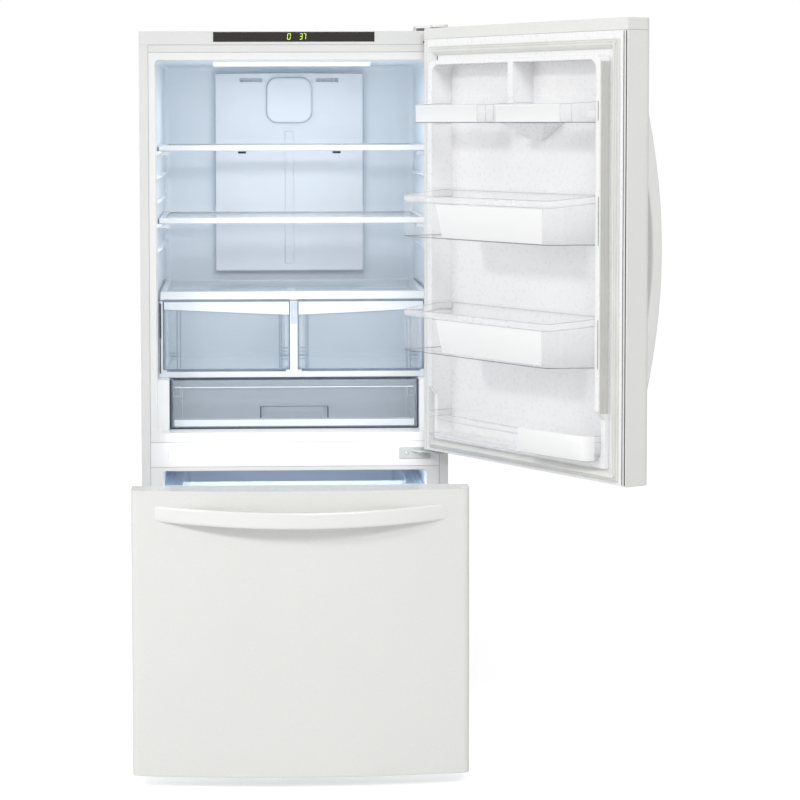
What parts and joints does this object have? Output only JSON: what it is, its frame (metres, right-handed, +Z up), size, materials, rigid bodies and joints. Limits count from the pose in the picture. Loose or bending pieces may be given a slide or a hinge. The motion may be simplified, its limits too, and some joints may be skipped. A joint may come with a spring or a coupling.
{
  "type": "bottom freezer refrigerator",
  "caption": "Upright refrigerator with a hinged door and shelves above, and a freezer drawer on telescopic slides below.",
  "frame": {"origin": "on the floor, straight below the middle of the cabinet's front plane", "axes": "+X to the right as one faces the doors, +Y from the front into the cabinet, +Z up"},
  "size_m": [1.1926, 1.3883, 1.7239],
  "materials": {
    "case_paint": "smooth white enamel on sheet steel",
    "door_paint": "smooth white enamel on sheet steel",
    "zinc_sheet": "zinc-coated sheet steel",
    "insulation": "rigid foam, cut faces",
    "liner": "vacuum-formed polystyrene, semi-gloss",
    "white_trim": "moulded ABS, semi-gloss",
    "handle": "moulded ABS, gloss",
    "display": "smoked acrylic, polished",
    "glass": "clear float glass",
    "clear_plastic": "clear polystyrene, polished",
    "light_cover": "frosted polystyrene",
    "gasket": "soft PVC seal",
    "hinge_metal": "grey coated steel",
    "rail_metal": "zinc-plated rolled steel",
    "fin_metal": "mill finish fins and tube",
    "black_paint": "black paint on steel",
    "dark_plastic": "moulded polypropylene",
    "grey_plastic": "moulded polypropylene",
    "base_plastic": "moulded polypropylene"
  },
  "bodies": {
    "cabinet": {"side_panel_left": "case_paint", "side_panel_right": "case_paint", "top_panel": "case_paint", "back_panel": "zinc_sheet", "base_deck": "zinc_sheet", "insulation_foam": "insulation", "fresh_food_liner": "liner", "freezer_liner": "liner", "center_mullion": "white_trim", "control_panel": "white_trim", "display_window": "display", "top_hinge": "hinge_metal", "top_hinge_cover": "white_trim", "middle_hinge": "hinge_metal", "shelf_frames": "white_trim", "shelf_glass": "glass", "crisper_frame": "white_trim", "crisper_cover_glass": "glass", "rear_duct_cover": "liner", "diffuser_cover": "liner", "light_lens": "light_cover", "evaporator_cover": "liner", "evaporator_coil": "fin_metal", "compressor": "black_paint", "condenser_coil": "black_paint", "condenser_fan_motor": "dark_plastic", "drain_pan": "dark_plastic", "machine_cover": "grey_plastic", "cord_gland": "dark_plastic", "base_grille": "base_plastic", "slide_rails_outer": "rail_metal"},
    "refrigerator_door": {"door_skin": "door_paint", "door_end_caps": "white_trim", "door_foam": "insulation", "door_liner": "liner", "door_gasket": "gasket", "door_handle": "handle", "door_bin_upper_hinge_side": "clear_plastic", "door_bin_upper_latch_side": "clear_plastic", "door_bin_middle": "clear_plastic", "door_bin_lower": "clear_plastic", "door_bin_bottom": "clear_plastic"},
    "freezer_drawer": {"drawer_skin": "door_paint", "drawer_foam": "insulation", "drawer_liner": "liner", "drawer_gasket": "gasket", "drawer_handle": "handle", "freezer_basket": "clear_plastic", "slide_rails_inner": "rail_metal"},
    "slide_rails_middle": {"slide_rails_middle": "rail_metal"},
    "freezer_tray": {"freezer_tray": "clear_plastic"},
    "crisper_left": {"crisper_left": "clear_plastic"},
    "crisper_right": {"crisper_right": "clear_plastic"},
    "pantry_drawer": {"pantry_drawer": "clear_plastic"},
    "door_switch": {"door_switch_plunger": "dark_plastic"},
    "evaporator_fan": {"evaporator_fan": "dark_plastic"},
    "condenser_fan": {"condenser_fan": "dark_plastic"},
    "rear_rollers": {"rear_rollers": "dark_plastic"},
    "levelling_leg_left": {"levelling_leg_left": "grey_plastic"},
    "levelling_leg_right": {"levelling_leg_right": "grey_plastic"}
  },
  "joints": [
    {"name": "refrigerator_door_hinge", "type": "hinge", "parent": "cabinet", "child": "refrigerator_door", "pos_m": [0.353, -0.04, 1.2], "axis": [0, 0, 1], "range_deg": [-121.6, 8.4]},
    {"name": "freezer_drawer_slide", "type": "slide", "parent": "cabinet", "child": "freezer_drawer", "axis": [0, -1, 0], "range_m": [-0.5, 0]},
    {"name": "middle_rail_slide", "type": "slide", "parent": "cabinet", "child": "slide_rails_middle", "axis": [0, -1, 0], "range_m": [-0.25, 0]},
    {"name": "freezer_tray_slide", "type": "slide", "parent": "cabinet", "child": "freezer_tray", "axis": [0, -1, 0], "range_m": [0, 0.3]},
    {"name": "crisper_left_slide", "type": "slide", "parent": "cabinet", "child": "crisper_left", "axis": [0, -1, 0], "range_m": [0, 0.36]},
    {"name": "crisper_right_slide", "type": "slide", "parent": "cabinet", "child": "crisper_right", "axis": [0, -1, 0], "range_m": [0, 0.13]},
    {"name": "pantry_drawer_slide", "type": "slide", "parent": "cabinet", "child": "pantry_drawer", "axis": [0, -1, 0], "range_m": [0, 0.33]},
    {"name": "door_switch_press", "type": "slide", "parent": "cabinet", "child": "door_switch", "axis": [0, -1, 0], "range_m": [-0.006, 0], "stiffness_N_per_m": 150, "springref_m": 0.002},
    {"name": "evaporator_fan_spin", "type": "hinge", "parent": "cabinet", "child": "evaporator_fan", "pos_m": [0, 0.602, 0.554], "axis": [0, 1, 0], "continuous": true},
    {"name": "condenser_fan_spin", "type": "hinge", "parent": "cabinet", "child": "condenser_fan", "pos_m": [0.01, 0.59, 0.1492], "axis": [1, 0, 0], "continuous": true},
    {"name": "rear_rollers_spin", "type": "hinge", "parent": "cabinet", "child": "rear_rollers", "pos_m": [0, 0.651, 0.018], "axis": [1, 0, 0], "continuous": true},
    {"name": "levelling_leg_left_screw", "type": "slide", "parent": "cabinet", "child": "levelling_leg_left", "axis": [0, 0, -1], "range_m": [0, 0.015]},
    {"name": "levelling_leg_right_screw", "type": "slide", "parent": "cabinet", "child": "levelling_leg_right", "axis": [0, 0, -1], "range_m": [0, 0.015]}
  ],
  "couplings": [
    {"joint": "middle_rail_slide", "follows": "freezer_drawer_slide", "ratio": 0.5}
  ]
}
